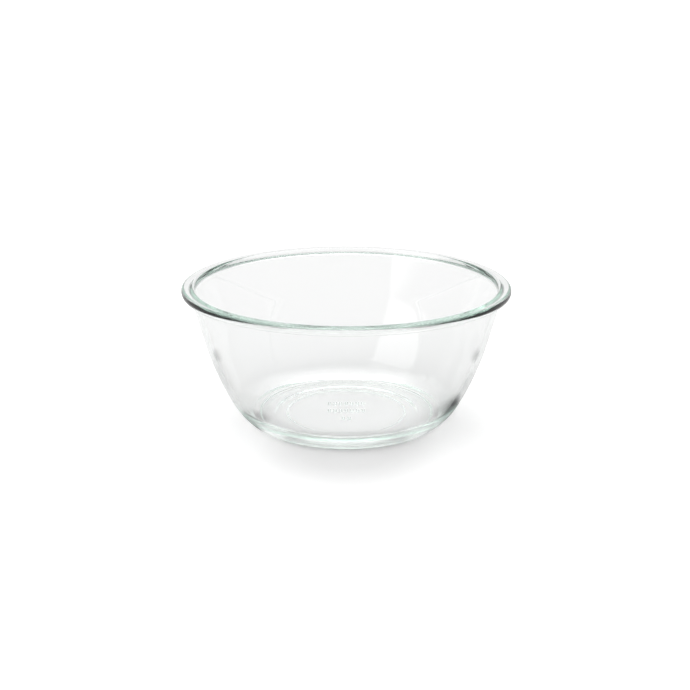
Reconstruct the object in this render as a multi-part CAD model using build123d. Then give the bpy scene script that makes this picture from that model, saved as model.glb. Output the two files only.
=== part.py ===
from build123d import *
import os
from math import atan2, cos, dist, radians, sin, tan

# Pressed glass mixing bowl: one piece of clear glass, turned about the Z axis.
# The origin is at the centre of the foot's face, +Z is up, and lengths are in millimetres.

# Overall
rim_diameter = 224.0        # over the bead
height = 97.5               # from the face of the foot to the top of the lip

# Lip: a round bead that stands outside the wall, and a roll down into the bowl
bead_diameter = 5.3
bead_overhang = 5.9         # from the wall's outer face, just under the bead, to the bead's edge
bead_hollow_radius = 1.5    # hollow between the underside of the bead and the wall
lip_roll_radius = 2.6       # roll from the top of the lip to the inner face

# Wall: a steep flank over a belly over a heel, rounded into each other
wall_thickness = 4.0
heel_out, heel_up = 0.22, 0.083      # turn from heel to belly, as shares of the way from foot to bead
belly_out, belly_up = 0.63, 0.404    # turn from belly to flank, in the same way

# Floor
floor_thickness = 4.0       # over the disc in the underside
floor_corner_radius = 28.0  # where the floor turns up into the wall, inside

# Foot: a low flat ring, with the heel standing a little outside it
foot_diameter = 124.0
foot_height = 2.0
foot_ring_width = 11.0
foot_edge_radius = 0.8      # also the hollow between the side of the foot and the heel
heel_overhang = 6.3
heel_rise = 0.8             # from the top of the foot to the edge of the heel
heel_edge_radius = 2.0

# Underside: a shallow recess inside the foot ring, and a deeper disc in the middle of it
recess_width = 9.3
recess_depth = 0.5
recess_slope = 3.0          # run of the soft slope from the foot ring up to the recess
recess_edge_radius = 8.0
disc_depth = 1.0            # below the recess
disc_edge_radius = 0.45

# Raised marks on the disc: rows of plain bars with round ends, each bar square to its row
bar_length = 6.0
bar_width = 1.8
bar_height = 0.35
bar_pitch = 4.0
bar_row_pitch = 14.0
bar_rows = (7, 7, 2)        # bars in each row

# Share of a leg that its roundings may take, so that a short straight stays between two arcs
leg_share = 0.98


def along(start, end, out, up):
    """Point at these shares of the way from start to end, out and up."""
    return (start[0] + out * (end[0] - start[0]), start[1] + up * (end[1] - start[1]))


def heading(start, end):
    """Direction of the leg from start to end, in radians."""
    return atan2(end[1] - start[1], end[0] - start[0])


def shifted(point, angle, offset):
    """Point moved by the offset to the left of a heading."""
    return (point[0] - offset * sin(angle), point[1] + offset * cos(angle))


def crossing(point, angle, other, other_angle):
    """Where two lines meet, each given by a point and a heading."""
    across, up = other[0] - point[0], other[1] - point[1]
    run = (across * sin(other_angle) - up * cos(other_angle)) / sin(other_angle - angle)
    return (point[0] + run * cos(angle), point[1] + run * sin(angle))


def arc_radius(before, corner, after, length):
    """Radius of the arc that rounds a corner and takes this length of each leg."""
    turn = (Vector(*corner) - Vector(*before)).get_angle(Vector(*after) - Vector(*corner))
    return length / tan(radians(turn) / 2)


# Underside, floor and foot
foot_outer = foot_diameter / 2
foot_inner = foot_outer - foot_ring_width
disc_radius = foot_inner - recess_width
disc_z = recess_depth + disc_depth
floor_z = disc_z + floor_thickness

# Outer face of the wall: three legs, from the heel's edge up to the underside of the bead
bead_edge = rim_diameter / 2
heel = (foot_outer + heel_overhang, foot_height + heel_rise)
under_bead = (bead_edge - bead_overhang, height - bead_diameter)
heel_turn = along(heel, under_bead, heel_out, heel_up)
belly_turn = along(heel, under_bead, belly_out, belly_up)

heel_length = leg_share * (dist(heel, heel_turn) - heel_edge_radius)
belly_length = leg_share * dist(heel_turn, belly_turn) - heel_length
heel_radius = arc_radius(heel, heel_turn, belly_turn, heel_length)
belly_radius = arc_radius(heel_turn, belly_turn, under_bead, belly_length)

# Inner face: belly and flank one wall thickness in, down to the floor
belly_heading = heading(heel_turn, belly_turn)
flank_heading = heading(belly_turn, under_bead)
inner_belly = shifted(heel_turn, belly_heading, wall_thickness)
inner_flank = shifted(under_bead, flank_heading, wall_thickness)
inner_turn = crossing(inner_belly, belly_heading, inner_flank, flank_heading)
inner_lip = crossing(inner_flank, flank_heading, (0, height), 0)
floor_corner = crossing(inner_belly, belly_heading, (0, floor_z), 0)

inner_radius = belly_radius - wall_thickness
inner_length = inner_radius * tan((flank_heading - belly_heading) / 2)
floor_room = leg_share * (dist(floor_corner, inner_turn) - inner_length)
floor_radius = min(floor_corner_radius, arc_radius(inner_turn, floor_corner, (0, floor_z), floor_room))

# Half section, from the middle of the underside, round the outside, to the middle of the floor.
# Each corner stands with the radius that rounds it.
bead_round = leg_share * bead_diameter / 2
corners = [
    ((disc_radius, disc_z), disc_edge_radius),
    ((disc_radius, recess_depth), disc_edge_radius),
    ((foot_inner - recess_slope, recess_depth), recess_edge_radius),
    ((foot_inner, 0), recess_edge_radius),
    ((foot_outer, 0), foot_edge_radius),
    ((foot_outer, foot_height), foot_edge_radius),
    (heel, heel_edge_radius),
    (heel_turn, heel_radius),
    (belly_turn, belly_radius),
    (under_bead, bead_hollow_radius),
    ((bead_edge, height - bead_diameter), bead_round),
    ((bead_edge, height), bead_round),
    (inner_lip, lip_roll_radius),
    (inner_turn, inner_radius),
    (floor_corner, floor_radius),
]


def make_glass_bowl():
    """The bowl as one solid: the half section turned about Z, with the bars under its floor."""
    points = [(0, disc_z)] + [corner for corner, radius in corners] + [(0, floor_z)]
    with BuildPart() as bowl:
        with BuildSketch(Plane.XZ):
            with BuildLine():
                FilletPolyline(*points, radius=[radius for corner, radius in corners])
                Line(points[-1], points[0])
            make_face()
        revolve(axis=Axis.Z)
        with BuildSketch(Plane.XY.offset(disc_z - bar_height)):
            for row, count in enumerate(bar_rows):
                with Locations((0, bar_row_pitch * ((len(bar_rows) - 1) / 2 - row))):
                    with GridLocations(bar_pitch, bar_row_pitch, count, 1):
                        SlotOverall(bar_length, bar_width, rotation=90)
        extrude(amount=bar_height)
    return bowl.part


glass_bowl = make_glass_bowl()
glass_bowl.label = "glass_bowl"

os.makedirs("parts", exist_ok=True)
export_step(glass_bowl, "parts/glass_bowl.step")
print("solids", len(glass_bowl.solids()), "volume cm3", round(glass_bowl.volume / 1000, 1))
print("heel, belly, floor radii", round(heel_radius, 1), round(belly_radius, 1), round(floor_radius, 1))
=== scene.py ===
"""Looks of a clear pressed glass mixing bowl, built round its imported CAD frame.

Lengths are in metres and places are in the frame of the CAD model: the origin is the centre of
the foot's face, +Z is up along the bowl's axis, and the camera looks along +Y.

A half section of the bowl is a line in a plane, and each of its points is one complex number,
radius + height * 1j, so that a heading is an angle and a turn is a multiplication.
"""
import logging
import math
from dataclasses import dataclass, field
from enum import Enum

import bpy
import numpy as np
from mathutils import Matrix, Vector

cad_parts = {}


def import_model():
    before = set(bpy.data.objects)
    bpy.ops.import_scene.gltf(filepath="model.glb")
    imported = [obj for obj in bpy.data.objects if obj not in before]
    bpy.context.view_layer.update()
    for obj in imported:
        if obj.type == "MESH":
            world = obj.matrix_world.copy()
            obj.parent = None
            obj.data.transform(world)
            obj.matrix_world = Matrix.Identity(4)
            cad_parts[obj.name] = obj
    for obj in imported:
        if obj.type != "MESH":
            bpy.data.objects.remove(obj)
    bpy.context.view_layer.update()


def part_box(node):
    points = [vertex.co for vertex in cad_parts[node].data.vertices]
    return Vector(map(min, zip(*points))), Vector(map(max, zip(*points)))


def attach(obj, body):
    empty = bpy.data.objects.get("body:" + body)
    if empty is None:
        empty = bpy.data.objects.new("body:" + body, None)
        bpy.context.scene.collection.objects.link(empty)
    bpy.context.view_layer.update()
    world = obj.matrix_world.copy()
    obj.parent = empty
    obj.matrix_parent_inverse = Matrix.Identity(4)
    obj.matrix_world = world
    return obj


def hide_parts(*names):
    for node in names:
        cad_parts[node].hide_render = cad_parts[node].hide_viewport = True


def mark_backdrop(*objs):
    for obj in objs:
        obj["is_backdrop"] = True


logging.basicConfig(level=logging.INFO, format="%(name)s: %(message)s")
log = logging.getLogger("mixing_bowl")

MM = 0.001
CAMERA_REACH = 200.0        # farther than any corner of the studio's floor
CLEAR_BOUNCES = 128         # bounces in all, and through clear glass
MIRROR_BOUNCES = 32         # fewer than the others, so that light caught in the rim goes dark


@dataclass(frozen=True)
class Corner:
    """A corner of a half section.

    Attributes:
        place: Where the two legs would meet, as radius + height * 1j.
        radius: Radius of the arc that rounds the corner.
    """

    place: complex
    radius: float


def heading(start: complex, end: complex) -> complex:
    """Unit number that points from start to end."""
    return (end - start) / abs(end - start)


def crossing(point: complex, along: complex, other: complex, other_along: complex) -> complex:
    """Where two lines meet.

    The gap between the two points is split into a run along the first line and a run along the
    second, by the cross product of each with the other's heading.

    Args:
        point: A point of the first line.
        along: Heading of the first line.
        other: A point of the second line.
        other_along: Heading of the second line.

    Returns:
        The point on both lines.
    """
    cross = (along.conjugate() * other_along).imag
    return point + along * ((other - point).conjugate() * other_along).imag / cross


def rounded_outline(
    start: complex, corners: list[Corner], end: complex, spacing: float, turn_step: float
) -> np.ndarray:
    """Points along a line of straight legs whose corners are rounded by arcs.

    An arc of radius r that turns by t takes r * tan(t / 2) of each leg. Its centre is r to the
    side of the first leg that it turns to, and its points are its start turned about that centre.
    The arc has as many points as its length and its turn ask for, and so has each straight.

    Args:
        start: First point.
        corners: The corners in order.
        end: Last point.
        spacing: Longest step between two points.
        turn_step: Largest turn between two points of an arc, in radians.

    Returns:
        Complex array of the points, from start to end.
    """
    places = [start] + [corner.place for corner in corners] + [end]
    runs = []
    reached = start
    for before, corner, after in zip(places, corners, places[2:]):
        into, out = heading(before, corner.place), heading(corner.place, after)
        turn = float(np.angle(out / into))
        taken = corner.radius * math.tan(abs(turn) / 2)
        first = corner.place - into * taken
        centre = first + 1j * math.copysign(corner.radius, turn) * into
        steps = math.ceil(max(abs(turn) / turn_step, abs(turn) * corner.radius / spacing))
        straight_steps = max(1, math.ceil(abs(first - reached) / spacing))
        runs.append(np.linspace(reached, first, straight_steps, endpoint=False))
        runs.append(centre + (first - centre) * np.exp(1j * turn * np.arange(steps) / steps))
        reached = centre + (first - centre) * np.exp(1j * turn)
    runs.append(np.linspace(reached, end, max(1, math.ceil(abs(end - reached) / spacing)) + 1))
    return np.concatenate(runs)


def lathe_faces(around: int, rings: int) -> list[list[int]]:
    """Faces of a closed lathe whose vertices are ring after ring, then the two poles.

    A face joins vertex i of ring k to the next vertex and the next ring, with i taken round the
    circle. The first and the last ring are closed by triangles to the first and the last pole.

    Args:
        around: Vertices in a ring.
        rings: Number of rings.

    Returns:
        Vertex numbers of each face, turned so that its normal points out of the glass.
    """
    here = np.arange(around)
    beside = (here + 1) % around
    base = around * np.arange(rings - 1)[:, None]
    quads = np.stack([base + here, base + beside, base + around + beside, base + around + here], -1)
    first_pole, last_pole = around * rings, around * rings + 1
    first = np.stack([np.full(around, first_pole), beside, here], -1)
    top = around * (rings - 1)
    last = np.stack([top + here, top + beside, np.full(around, last_pole)], -1)
    return quads.reshape(-1, 4).tolist() + first.tolist() + last.tolist()


def smooth_rise(value: np.ndarray, low: float, high: float) -> np.ndarray:
    """Zero below low, one above high, and 3 t^2 - 2 t^3 between them.

    Args:
        value: What is mapped.
        low: Value where the rise starts.
        high: Value where it ends.

    Returns:
        The mapped values.
    """
    t = np.clip((value - low) / (high - low), 0.0, 1.0)
    return t * t * (3 - 2 * t)


class Nodes:
    """Short hand for building one node tree."""

    def __init__(self, tree: bpy.types.NodeTree) -> None:
        """Empties the tree and keeps it."""
        self.tree = tree
        tree.nodes.clear()

    def add(self, kind: str, **settings: object) -> bpy.types.Node:
        """Adds a node.

        Args:
            kind: Type name of the node.
            **settings: Properties to set on it, such as operation.

        Returns:
            The new node.
        """
        node = self.tree.nodes.new(kind)
        for name, value in settings.items():
            setattr(node, name, value)
        return node

    def feed(self, socket: bpy.types.NodeSocket, source: object) -> None:
        """Links an output to an input, or sets the input where the source is a plain value.

        Args:
            socket: The input.
            source: An output, or a value of the input's own kind.
        """
        if isinstance(source, bpy.types.NodeSocket):
            self.tree.links.new(source, socket)
        else:
            socket.default_value = source

    def math(self, operation: str, *sources: object) -> bpy.types.NodeSocket:
        """Adds a Math node.

        Args:
            operation: What it works out.
            *sources: Outputs or numbers for its inputs, in order.

        Returns:
            Its output.
        """
        node = self.add("ShaderNodeMath", operation=operation)
        for socket, source in zip(node.inputs, sources):
            self.feed(socket, source)
        return node.outputs[0]

    def vector_math(self, operation: str, *sources: object) -> bpy.types.Node:
        """Adds a Vector Math node.

        Args:
            operation: What it works out.
            *sources: Outputs or vectors for its inputs, in order.

        Returns:
            The node, whose output is a vector or a value as the operation has it.
        """
        node = self.add("ShaderNodeVectorMath", operation=operation)
        for socket, source in zip(node.inputs, sources):
            self.feed(socket, source)
        return node

    def dot(self, first: object, second: object) -> bpy.types.NodeSocket:
        """Adds a dot product and returns its value."""
        return self.vector_math("DOT_PRODUCT", first, second).outputs["Value"]

    def ramp(
        self, value: object, low: object, high: object, bottom: float, top: float
    ) -> bpy.types.NodeSocket:
        """Adds a smooth step of the value.

        Args:
            value: What is mapped.
            low: Value where the step starts.
            high: Value where it ends.
            bottom: Result at low.
            top: Result at high.

        Returns:
            The mapped value.
        """
        node = self.add("ShaderNodeMapRange", interpolation_type="SMOOTHSTEP")
        names = ("Value", "From Min", "From Max", "To Min", "To Max")
        for name, source in zip(names, (value, low, high, bottom, top)):
            self.feed(node.inputs[name], source)
        return node.outputs["Result"]

    def use(self, effect: "Effect", sources: dict[str, object]) -> bpy.types.NodeSocket:
        """Adds a shared effect, fed by name.

        Args:
            effect: The effect.
            sources: What goes into each of its inputs.

        Returns:
            Its output.
        """
        node = self.add("ShaderNodeGroup", node_tree=effect.tree)
        for name, source in sources.items():
            self.feed(node.inputs[name], source)
        return node.outputs[0]


class Effect(Nodes):
    """A node group with vector and plain inputs and one plain output.

    Attributes:
        given: Its inputs, by name, as they are seen from inside the group.
    """

    def __init__(self, name: str, vectors: tuple[str, ...], plains: tuple[str, ...], output: str) -> None:
        """Makes the empty group.

        Args:
            name: Name of the group.
            vectors: Names of its vector inputs.
            plains: Names of its plain inputs.
            output: Name of its output.
        """
        super().__init__(bpy.data.node_groups.new(name, "ShaderNodeTree"))
        sockets = self.tree.interface
        for vector in vectors:
            sockets.new_socket(name=vector, in_out="INPUT", socket_type="NodeSocketVector")
        for plain in plains:
            sockets.new_socket(name=plain, in_out="INPUT", socket_type="NodeSocketFloat")
        sockets.new_socket(name=output, in_out="OUTPUT", socket_type="NodeSocketFloat")
        self.given = self.add("NodeGroupInput").outputs
        self._result = self.add("NodeGroupOutput")

    def give(self, source: bpy.types.NodeSocket) -> None:
        """Links what the group puts out."""
        self.feed(self._result.inputs[0], source)


@dataclass(frozen=True)
class ClearGlass:
    """Clear soda-lime glass, with a faint green that shows where light runs far through it.

    Attributes:
        name: Name of the material.
        index: Index of refraction.
        clear_colour: Colour that the glass lets through best.
        density: How fast the rest is lost. Over a length in metres, light of each colour is
            multiplied by exp(-density * (1 - its value in clear_colour) * length).
        chill_scale: Waves a metre of the slow ripple left where hot glass met the mould.
        chill_height: Depth of that ripple.
    """

    name: str = "pressed_glass"
    index: float = 1.5
    clear_colour: tuple[float, float, float, float] = (0.32, 0.85, 0.62, 1.0)
    density: float = 1.9
    chill_scale: float = 26.0
    chill_height: float = 0.10 * MM

    def chill_effect(self) -> Effect:
        """Effect of the mould's ripple.

        Returns:
            The effect, which puts out the ripple's height, from 0 to 1, at a place.
        """
        effect = Effect("mould_chill", ("Place",), ("Scale",), "Height")
        slow = effect.add("ShaderNodeTexNoise")
        effect.feed(slow.inputs["Vector"], effect.given["Place"])
        effect.feed(slow.inputs["Scale"], effect.given["Scale"])
        effect.feed(slow.inputs["Detail"], 0.0)
        effect.give(slow.outputs["Fac"])
        return effect

    def build(self) -> bpy.types.Material:
        """Builds the material.

        Returns:
            A glass whose refraction and absorption are plain values, with the ripple as its normal.
        """
        material = bpy.data.materials.new(self.name)
        material.use_nodes = True
        nodes = Nodes(material.node_tree)
        surface = nodes.add("ShaderNodeBsdfPrincipled")
        surface.inputs["Base Color"].default_value = (1.0, 1.0, 1.0, 1.0)
        surface.inputs["Roughness"].default_value = 0.0
        surface.inputs["IOR"].default_value = self.index
        surface.inputs["Transmission Weight"].default_value = 1.0
        body = nodes.add("ShaderNodeVolumeAbsorption")
        body.inputs["Color"].default_value = self.clear_colour
        body.inputs["Density"].default_value = self.density
        place = nodes.add("ShaderNodeTexCoord").outputs["Object"]
        chill = nodes.use(self.chill_effect(), {"Place": place, "Scale": self.chill_scale})
        bump = nodes.add("ShaderNodeBump")
        nodes.feed(bump.inputs["Strength"], 1.0)
        nodes.feed(bump.inputs["Distance"], self.chill_height)
        nodes.feed(bump.inputs["Height"], chill)
        nodes.feed(surface.inputs["Normal"], bump.outputs["Normal"])
        out = nodes.add("ShaderNodeOutputMaterial")
        nodes.feed(out.inputs["Surface"], surface.outputs["BSDF"])
        nodes.feed(out.inputs["Volume"], body.outputs["Volume"])
        return material


@dataclass
class GlassBowl:
    """The bowl: one closed skin, turned from its half section.

    The sizes that aren't listed here are those of the CAD model, under the names they have there.

    Attributes:
        rim_radius: Half the width over the bead, from the frame.
        height: Height over the lip, from the frame.
        heel_share: Turn from heel to belly, as shares out and up of the way from foot to bead.
        belly_share: Turn from belly to flank, in the same way.
        heel_offset: From the top of the foot's edge, out and up, to the heel's edge.
        bar_edge: Where the smooth side of a bar starts and ends, as shares of half its width.
        leg_share: Share of a leg that its roundings may take.
        around: Points in a turn.
        spacing: Longest step along the section.
        bar_spacing: Longest step along the section where the bars stand.
        turn_step: Largest turn between two points of an arc, in radians.
    """

    rim_radius: float
    height: float
    bead_diameter: float = 5.3 * MM
    bead_overhang: float = 5.9 * MM
    bead_hollow_radius: float = 1.5 * MM
    lip_roll_radius: float = 2.6 * MM
    wall_thickness: float = 4.0 * MM
    heel_share: complex = 0.22 + 0.083j
    belly_share: complex = 0.63 + 0.404j
    floor_thickness: float = 4.0 * MM
    floor_corner_radius: float = 28.0 * MM
    foot_radius: float = 62.0 * MM
    foot_height: float = 2.0 * MM
    foot_ring_width: float = 11.0 * MM
    foot_edge_radius: float = 0.8 * MM
    heel_offset: complex = (6.3 + 0.8j) * MM
    heel_edge_radius: float = 2.0 * MM
    recess_width: float = 9.3 * MM
    recess_depth: float = 0.5 * MM
    recess_slope: float = 3.0 * MM
    recess_edge_radius: float = 8.0 * MM
    disc_depth: float = 1.0 * MM
    disc_edge_radius: float = 0.45 * MM
    bar_length: float = 6.0 * MM
    bar_width: float = 1.8 * MM
    bar_height: float = 0.35 * MM
    bar_pitch: float = 4.0 * MM
    bar_row_pitch: float = 14.0 * MM
    bar_rows: tuple[int, ...] = (7, 7, 2)
    bar_edge: tuple[float, float] = (0.5, 1.2)
    leg_share: float = 0.98
    around: int = 240
    spacing: float = 1.6 * MM
    bar_spacing: float = 0.4 * MM
    turn_step: float = math.radians(7.0)

    def share_of_wall(self, heel: complex, top: complex, share: complex) -> complex:
        """Point at the shares out and up of the way from the heel to the underside of the bead.

        Args:
            heel: Edge of the heel.
            top: Corner under the bead.
            share: Shares of the way, out + up * 1j.

        Returns:
            The point.
        """
        way = top - heel
        return heel + complex(way.real * share.real, way.imag * share.imag)

    def arc_radius(self, before: complex, corner: complex, after: complex, length: float) -> float:
        """Radius of the arc that rounds a corner: length / tan(turn / 2).

        Args:
            before: A point of the leg that comes to the corner.
            corner: The corner.
            after: A point of the leg that leaves it.
            length: How much of each leg the arc takes.

        Returns:
            The radius.
        """
        turn = np.angle(heading(corner, after) / heading(before, corner))
        return length / math.tan(abs(turn) / 2)

    def section(self) -> np.ndarray:
        """Half section of the bowl.

        The outer wall has three legs, from the heel's edge up to the underside of the bead. The
        inner wall has the last two, one wall thickness in, and its arc shares the outer centre.

        Returns:
            Complex points from the middle of the underside, round the outside, to the middle of
            the floor, without the two on the axis.
        """
        disc_z = self.recess_depth + self.disc_depth
        floor_z = disc_z + self.floor_thickness
        foot_inner = self.foot_radius - self.foot_ring_width
        disc_radius = foot_inner - self.recess_width
        heel = complex(self.foot_radius, self.foot_height) + self.heel_offset
        top = complex(self.rim_radius - self.bead_overhang, self.height - self.bead_diameter)
        heel_turn = self.share_of_wall(heel, top, self.heel_share)
        belly_turn = self.share_of_wall(heel, top, self.belly_share)

        heel_length = self.leg_share * (abs(heel_turn - heel) - self.heel_edge_radius)
        belly_length = self.leg_share * abs(belly_turn - heel_turn) - heel_length
        heel_radius = self.arc_radius(heel, heel_turn, belly_turn, heel_length)
        belly_radius = self.arc_radius(heel_turn, belly_turn, top, belly_length)

        belly, flank = heading(heel_turn, belly_turn), heading(belly_turn, top)
        inner_belly = heel_turn + 1j * belly * self.wall_thickness
        inner_flank = top + 1j * flank * self.wall_thickness
        inner_turn = crossing(inner_belly, belly, inner_flank, flank)
        inner_lip = crossing(inner_flank, flank, 1j * self.height, 1 + 0j)
        floor_corner = crossing(inner_belly, belly, 1j * floor_z, 1 + 0j)

        bead_round = self.leg_share * self.bead_diameter / 2
        slope_top = complex(foot_inner - self.recess_slope, self.recess_depth)
        corners = [
            Corner(complex(disc_radius, disc_z), self.disc_edge_radius),
            Corner(complex(disc_radius, self.recess_depth), self.disc_edge_radius),
            Corner(slope_top, self.recess_edge_radius),
            Corner(complex(foot_inner, 0.0), self.recess_edge_radius),
            Corner(complex(self.foot_radius, 0.0), self.foot_edge_radius),
            Corner(complex(self.foot_radius, self.foot_height), self.foot_edge_radius),
            Corner(heel, self.heel_edge_radius),
            Corner(heel_turn, heel_radius),
            Corner(belly_turn, belly_radius),
            Corner(top, self.bead_hollow_radius),
            Corner(complex(self.rim_radius, top.imag), bead_round),
            Corner(complex(self.rim_radius, self.height), bead_round),
            Corner(inner_lip, self.lip_roll_radius),
            Corner(inner_turn, belly_radius - self.wall_thickness),
            Corner(floor_corner, self.floor_corner_radius),
        ]
        bars_end = complex(self.bars_reach(), disc_z)
        bar_steps = math.ceil(bars_end.real / self.bar_spacing)
        under_bars = np.linspace(1j * disc_z, bars_end, bar_steps, endpoint=False)[1:]
        rest = rounded_outline(bars_end, corners, 1j * floor_z, self.spacing, self.turn_step)
        return np.concatenate([under_bars, rest[:-1]])

    def bars_reach(self) -> float:
        """Radius that holds every bar: the far corner of the longest row, and a bar's width more.

        Returns:
            The radius.
        """
        across = self.bar_pitch * (max(self.bar_rows) - 1) / 2
        down = self.bar_row_pitch * (len(self.bar_rows) - 1) / 2 + self.bar_length / 2
        return math.hypot(across, down) + self.bar_width

    def bar_rise(self, x: np.ndarray, y: np.ndarray) -> np.ndarray:
        """How far the bars stand down from the disc at each place.

        The nearest bar of a row is found by rounding x to the row's pitch, and the distance to
        the bar's middle line tells how much of the smooth fall at its edge is left.

        Args:
            x: Places along the rows.
            y: Places across the rows.

        Returns:
            Height of the bars, zero between them.
        """
        rise = np.zeros_like(x)
        round_end = self.bar_width / 2
        for row, count in enumerate(self.bar_rows):
            row_y = self.bar_row_pitch * ((len(self.bar_rows) - 1) / 2 - row)
            half = (count - 1) / 2
            nearest = np.clip(np.round(x / self.bar_pitch + half), 0, count - 1) - half
            past_end = np.maximum(np.abs(y - row_y) - (self.bar_length / 2 - round_end), 0.0)
            away = np.hypot(x - nearest * self.bar_pitch, past_end)
            edge = smooth_rise(away, self.bar_edge[0] * round_end, self.bar_edge[1] * round_end)
            rise = np.maximum(rise, self.bar_height * (1 - edge))
        return rise

    def build(self, finish: bpy.types.Material) -> bpy.types.Object:
        """Turns the half section about the axis.

        A point of ring k at angle a is (radius_k cos a, radius_k sin a, height_k). On the disc it
        is lower by the bars' height.

        Args:
            finish: The glass.

        Returns:
            The bowl, a closed mesh with smooth faces.
        """
        section = self.section()
        angle = np.linspace(0.0, 2 * math.pi, self.around, endpoint=False)
        radius = section.real[:, None]
        x, y = radius * np.cos(angle), radius * np.sin(angle)
        z = np.repeat(section.imag[:, None], self.around, axis=1)
        disc_z = self.recess_depth + self.disc_depth
        under = (section.imag < disc_z + self.floor_thickness / 2) & (section.real < self.bars_reach())
        z[under] -= self.bar_rise(x[under], y[under])
        centre = np.zeros(1)
        poles = np.array(
            [
                [0.0, 0.0, disc_z - self.bar_rise(centre, centre)[0]],
                [0.0, 0.0, disc_z + self.floor_thickness],
            ]
        )
        rings = np.stack([x, y, z], -1).reshape(-1, 3)
        mesh = bpy.data.meshes.new("bowl_skin")
        mesh.from_pydata(np.concatenate([rings, poles]), [], lathe_faces(self.around, len(section)))
        mesh.polygons.foreach_set("use_smooth", np.ones(len(mesh.polygons), bool))
        mesh.materials.append(finish)
        mesh.update()
        bowl = bpy.data.objects.new("bowl_skin", mesh)
        bpy.context.scene.collection.objects.link(bowl)
        log.info("bowl_skin: %d points in the section, %d faces", len(section), len(mesh.polygons))
        return bowl


class Side(Enum):
    """Where a soft box stands, as a bearing from the camera, in degrees, positive to its right."""

    WINDOW = -58.0
    BACK_LEFT = -125.0
    BEHIND = 180.0


@dataclass(frozen=True)
class SoftBox:
    """A lamp in the sky with soft edges.

    Attributes:
        side: Bearing of its middle.
        rise: Height of its middle above the floor, in degrees.
        half_width: Half its width, in degrees.
        half_height: Half its height, in degrees.
        glow: Light that it adds to the sky's.
        softness: Width of its soft edge, as a tangent of the angle from its middle.
    """

    side: Side
    rise: float
    half_width: float
    half_height: float
    glow: float
    softness: float = 0.12

    def axes(self) -> tuple[tuple[float, float, float], ...]:
        """Directions of the lamp, from its bearing and its rise.

        Returns:
            Unit directions to the lamp, across it and up it.
        """
        bearing, rise = math.radians(self.side.value), math.radians(self.rise)
        toward = (math.sin(bearing) * math.cos(rise), -math.cos(bearing) * math.cos(rise), math.sin(rise))
        across = (math.cos(bearing), math.sin(bearing), 0.0)
        up = tuple(float(v) for v in np.cross(across, toward))
        return toward, across, up


@dataclass(frozen=True)
class PaintedFloorPatch:
    """An oval patch of painted shade on the floor, or of painted light where its depth is below zero, with
    soft edges.

    Attributes:
        x: Place of its middle, to the right of the bowl's axis.
        y: Place of its middle, behind the bowl's axis.
        half_x: Half its size from left to right, to the middle of its edge.
        half_y: Half its size from front to back, in the same way.
        depth: Share of the floor's light that it takes away, or adds where it is below zero.
    """

    x: float
    y: float
    half_x: float
    half_y: float
    depth: float


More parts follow.
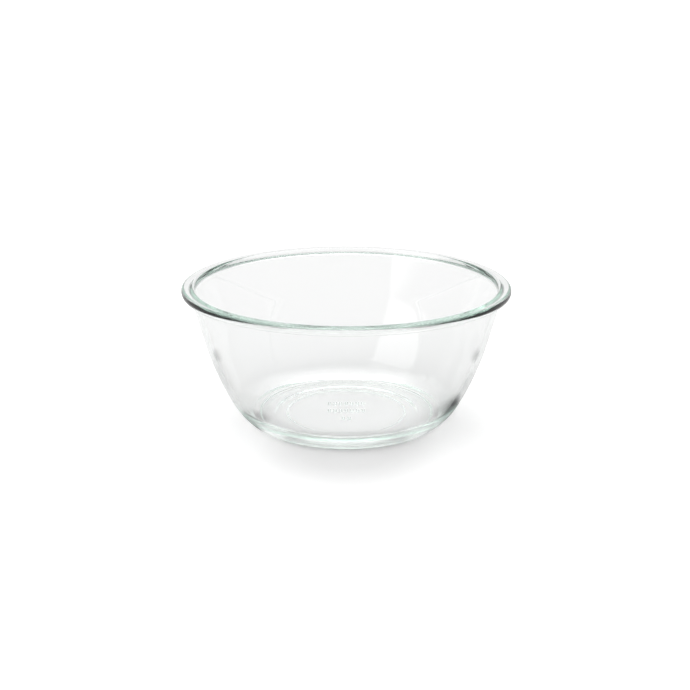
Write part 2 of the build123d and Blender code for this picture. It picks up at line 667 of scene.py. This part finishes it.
@dataclass
class Studio:
    """White floor, white surround, soft boxes, and patches of painted shade and painted light on the floor.

    Attributes:
        floor_size: Side of the floor.
        paper: Share of light that the floor's paper sends back.
        paper_gain: What is added to that share for the camera, so that the paper is overexposed
            around the bowl but not through it.
        lit_radius: Radius of the painted glow on the floor under the bowl's foot, which only the glass sees.
        lit_edge: Width over which that light fades out.
        lit_back: How far the painted glow's middle is behind the bowl's axis.
        lit_glow: Strength of that light.
        painted_patches: Patches of painted shade and painted light on the floor, which only the glass sees.
        front_shade: A soft shadow of the bowl painted on the paper in front of its foot, which only the
            camera sees.
        backdrop: Light of the surround where the camera sees it.
        surround: Light of the surround at the horizon, as bright as the floor there.
        dome: Light of the surround above it.
        horizon_low: Sine of the elevation where the surround starts to change to the dome.
        horizon_high: Sine of the elevation where it has changed.
        least_facing: Least cosine taken between a direction and a soft box's middle, so that a
            direction away from the box falls far outside it.
        patch_edge: Where a painted patch's soft edge starts and ends, as shares of its half size.
        boxes: The soft boxes.
    """

    floor_size: float = 60.0
    paper: float = 0.87
    paper_gain: float = 0.36
    lit_radius: float = 88.0 * MM
    lit_edge: float = 42.0 * MM
    lit_back: float = 23.0 * MM
    lit_glow: float = 0.42
    backdrop: float = 1.25
    surround: float = 1.02
    dome: float = 1.08
    horizon_low: float = 0.10
    horizon_high: float = 0.35
    least_facing: float = 1e-4
    patch_edge: tuple[float, float] = (0.5, 1.5)
    boxes: list[SoftBox] = field(
        default_factory=lambda: [
            SoftBox(Side.WINDOW, 32.0, 22.0, 21.0, 1.5, 0.08),
            SoftBox(Side.BACK_LEFT, 34.0, 14.0, 14.0, 1.1, 0.20),
            SoftBox(Side.BEHIND, 62.0, 26.0, 20.0, 2.6, 0.30),
        ]
    )
    painted_patches: list[PaintedFloorPatch] = field(
        # Patches with depth above zero are painted shade, and those below zero are painted light.
        default_factory=lambda: [
            PaintedFloorPatch(-161.0 * MM, 42.0 * MM, 11.0 * MM, 20.0 * MM, 0.55),
            PaintedFloorPatch(161.0 * MM, 42.0 * MM, 11.0 * MM, 20.0 * MM, 0.55),
            PaintedFloorPatch(-128.0 * MM, 38.0 * MM, 24.0 * MM, 46.0 * MM, 0.15),
            PaintedFloorPatch(112.0 * MM, 30.0 * MM, 14.0 * MM, 30.0 * MM, 0.12),
            PaintedFloorPatch(84.0 * MM, -12.0 * MM, 18.0 * MM, 24.0 * MM, 0.82),
            PaintedFloorPatch(-68.0 * MM, -20.0 * MM, 12.0 * MM, 16.0 * MM, 0.78),
            PaintedFloorPatch(-50.0 * MM, -46.0 * MM, 11.0 * MM, 11.0 * MM, -0.60),
            PaintedFloorPatch(52.0 * MM, -52.0 * MM, 11.0 * MM, 11.0 * MM, -0.60),
            PaintedFloorPatch(0.0, -64.0 * MM, 40.0 * MM, 7.0 * MM, -0.70),
        ]
    )
    # A painted shadow of the bowl on the paper in front of its foot.
    front_shade: PaintedFloorPatch = PaintedFloorPatch(0.0, -62.0 * MM, 50.0 * MM, 55.0 * MM, 0.30)

    def box_effect(self) -> Effect:
        """Effect of one soft box.

        A direction falls on the box at (d . across, d . up) / (d . toward), and the glow is the
        product of two smooth steps, one for each of those against the box's half sizes.

        Returns:
            The effect, with the box's axes and sizes as inputs and its light as output.
        """
        sizes = ("Half Width", "Half Height", "Softness", "Glow")
        effect = Effect("soft_box", ("Direction", "Toward", "Across", "Up"), sizes, "Light")
        given = effect.given
        straight = effect.dot(given["Direction"], given["Toward"])
        facing = effect.math("MAXIMUM", straight, self.least_facing)
        light = given["Glow"]
        for axis, half in (("Across", "Half Width"), ("Up", "Half Height")):
            offset = effect.math("DIVIDE", effect.dot(given["Direction"], given[axis]), facing)
            beyond = effect.math("SUBTRACT", effect.math("ABSOLUTE", offset), given[half])
            inside = effect.math("SUBTRACT", 0.0, beyond)
            light = effect.math("MULTIPLY", light, effect.ramp(inside, 0.0, given["Softness"], 0.0, 1.0))
        effect.give(light)
        return effect

    def build_world(self) -> None:
        """The surround, the dome above it and the soft boxes; the camera sees a plain backdrop."""
        world = bpy.data.worlds.new("studio")
        world.use_nodes = True
        bpy.context.scene.world = world
        nodes = Nodes(world.node_tree)
        direction = nodes.add("ShaderNodeTexCoord").outputs["Generated"]
        split = nodes.add("ShaderNodeSeparateXYZ")
        nodes.feed(split.inputs[0], direction)
        light = nodes.ramp(split.outputs["Z"], self.horizon_low, self.horizon_high, self.surround, self.dome)
        effect = self.box_effect()
        for box in self.boxes:
            toward, across, up = box.axes()
            sources = {
                "Direction": direction,
                "Toward": toward,
                "Across": across,
                "Up": up,
                "Half Width": math.tan(math.radians(box.half_width)),
                "Half Height": math.tan(math.radians(box.half_height)),
                "Softness": box.softness,
                "Glow": box.glow,
            }
            light = nodes.math("ADD", light, nodes.use(effect, sources))
        lit = nodes.add("ShaderNodeBackground")
        nodes.feed(lit.inputs["Strength"], light)
        plain = nodes.add("ShaderNodeBackground")
        nodes.feed(plain.inputs["Strength"], self.backdrop)
        path = nodes.add("ShaderNodeLightPath")
        mix = nodes.add("ShaderNodeMixShader")
        nodes.feed(mix.inputs[0], path.outputs["Is Camera Ray"])
        nodes.feed(mix.inputs[1], lit.outputs[0])
        nodes.feed(mix.inputs[2], plain.outputs[0])
        out = nodes.add("ShaderNodeOutputWorld")
        nodes.feed(out.inputs["Surface"], mix.outputs[0])

    def painted_patch_effect(self) -> Effect:
        """Effect of one painted patch of shade or light on the floor.

        Returns:
            The effect, which takes the place on the floor and the patch's middle, half sizes and
            depth, and puts out the share of light that is kept.
        """
        effect = Effect("painted_floor_patch", ("Place", "Middle", "Half Size"), ("Depth",), "Kept")
        given = effect.given
        offset = effect.vector_math("SUBTRACT", given["Place"], given["Middle"]).outputs[0]
        scaled = effect.vector_math("DIVIDE", offset, given["Half Size"]).outputs[0]
        away = effect.vector_math("LENGTH", scaled).outputs["Value"]
        cover = effect.ramp(away, self.patch_edge[0], self.patch_edge[1], 1.0, 0.0)
        effect.give(effect.math("SUBTRACT", 1.0, effect.math("MULTIPLY", cover, given["Depth"])))
        return effect

    def floor_material(self) -> bpy.types.Material:
        """Matt white paper, with painted shade, painted light and a painted glow.

        Returns:
            The material. The camera sees the paper with a painted shadow in front of the foot, and the
            glass sees it with painted patches of shade and light and a painted glow under the foot.
        """
        material = bpy.data.materials.new("matt_white")
        material.use_nodes = True
        nodes = Nodes(material.node_tree)
        paper = nodes.add("ShaderNodeBsdfDiffuse")
        seen = nodes.add("ShaderNodeLightPath").outputs["Is Camera Ray"]
        place = nodes.add("ShaderNodeTexCoord").outputs["Object"]
        effect = self.painted_patch_effect()
        shares = []
        for patch in [self.front_shade] + self.painted_patches:
            sources = {
                "Place": place,
                "Middle": (patch.x, patch.y, 0.0),
                "Half Size": (patch.half_x, patch.half_y, 1.0),
                "Depth": patch.depth,
            }
            shares.append(nodes.use(effect, sources))
        by_glass = 1.0
        for share in shares[1:]:
            by_glass = nodes.math("MULTIPLY", by_glass, share)
        by_glass = nodes.math("MULTIPLY", by_glass, nodes.math("SUBTRACT", 1.0, seen))
        # Rays from the camera meet the painted shadow in front of the foot, and all other rays meet the
        # painted patches of shade and light.
        kept = nodes.math("MULTIPLY_ADD", shares[0], seen, by_glass)
        extra = nodes.math("MULTIPLY", seen, self.paper_gain)
        nodes.feed(paper.inputs["Color"], nodes.math("MULTIPLY_ADD", kept, self.paper, extra))
        # A painted glow under the bowl's foot, which only the glass sees, brightens the floor there.
        away = nodes.vector_math("DISTANCE", place, (0.0, self.lit_back, 0.0)).outputs["Value"]
        full = self.lit_radius - self.lit_edge
        painted_glow = nodes.ramp(away, full, self.lit_radius, self.lit_glow, 0.0)
        glow = nodes.add("ShaderNodeEmission")
        nodes.feed(glow.inputs["Strength"], nodes.math("MULTIPLY", by_glass, painted_glow))
        both = nodes.add("ShaderNodeAddShader")
        nodes.feed(both.inputs[0], paper.outputs[0])
        nodes.feed(both.inputs[1], glow.outputs[0])
        out = nodes.add("ShaderNodeOutputMaterial")
        nodes.feed(out.inputs["Surface"], both.outputs[0])
        return material

    def build_floor(self) -> bpy.types.Object:
        """Wide floor that the bowl stands on.

        Returns:
            Nothing, since mark_backdrop gives nothing back; the floor is marked as part of the backdrop.
        """
        half = self.floor_size / 2
        mesh = bpy.data.meshes.new("studio_floor")
        places = [(-half, -half, 0.0), (half, -half, 0.0), (half, half, 0.0), (-half, half, 0.0)]
        mesh.from_pydata(places, [], [(0, 1, 2, 3)])
        mesh.materials.append(self.floor_material())
        floor = bpy.data.objects.new("studio_floor", mesh)
        bpy.context.scene.collection.objects.link(floor)
        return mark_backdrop(floor)


@dataclass(frozen=True)
class Viewpoint:
    """The camera, in front of the bowl and a little above it.

    Attributes:
        distance: From the camera to the point it looks at.
        elevation: Angle that it looks down by, in degrees.
        aim_share: Height of the point it looks at, as a share of the bowl's.
        aim_aside: How far that point is to the left of the bowl's axis.
        lens: Focal length on a frame of sensor width, in millimetres.
        sensor: Width of the frame, in millimetres.
    """

    distance: float = 0.820
    elevation: float = 17.6
    aim_share: float = 0.5365
    aim_aside: float = 0.9 * MM
    lens: float = 61.6
    sensor: float = 36.0

    def build(self, bowl_height: float) -> bpy.types.Object:
        """Makes the camera and gives it to the scene.

        Args:
            bowl_height: Height of the bowl.

        Returns:
            The camera.
        """
        down = math.radians(self.elevation)
        data = bpy.data.cameras.new("camera")
        data.lens = self.lens
        data.sensor_width = self.sensor
        data.clip_end = CAMERA_REACH
        camera = bpy.data.objects.new("camera", data)
        aim_z = self.aim_share * bowl_height
        camera.location = (
            -self.aim_aside,
            -self.distance * math.cos(down),
            aim_z + self.distance * math.sin(down),
        )
        camera.rotation_euler = (math.pi / 2 - down, 0.0, 0.0)
        bpy.context.scene.collection.objects.link(camera)
        bpy.context.scene.camera = camera
        return camera


def main() -> None:
    """Builds the studio and the bowl round the frame, and logs the bowl."""
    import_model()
    low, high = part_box("glass_bowl")
    height = high.z - low.z

    Viewpoint().build(height)
    studio = Studio()
    studio.build_world()
    studio.build_floor()
    bpy.context.scene.view_settings.view_transform = "Standard"
    paths = bpy.context.scene.cycles
    paths.max_bounces = CLEAR_BOUNCES
    paths.transmission_bounces = CLEAR_BOUNCES
    paths.glossy_bounces = MIRROR_BOUNCES

    shape = GlassBowl(rim_radius=(high.x - low.x) / 2, height=height)
    bowl = shape.build(ClearGlass().build())
    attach(bowl, "root")
    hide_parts("glass_bowl")
    log.info("bowl_skin stands for glass_bowl, %.1f mm over the rim", 2 * shape.rim_radius / MM)


if __name__ == "__main__":
    main()
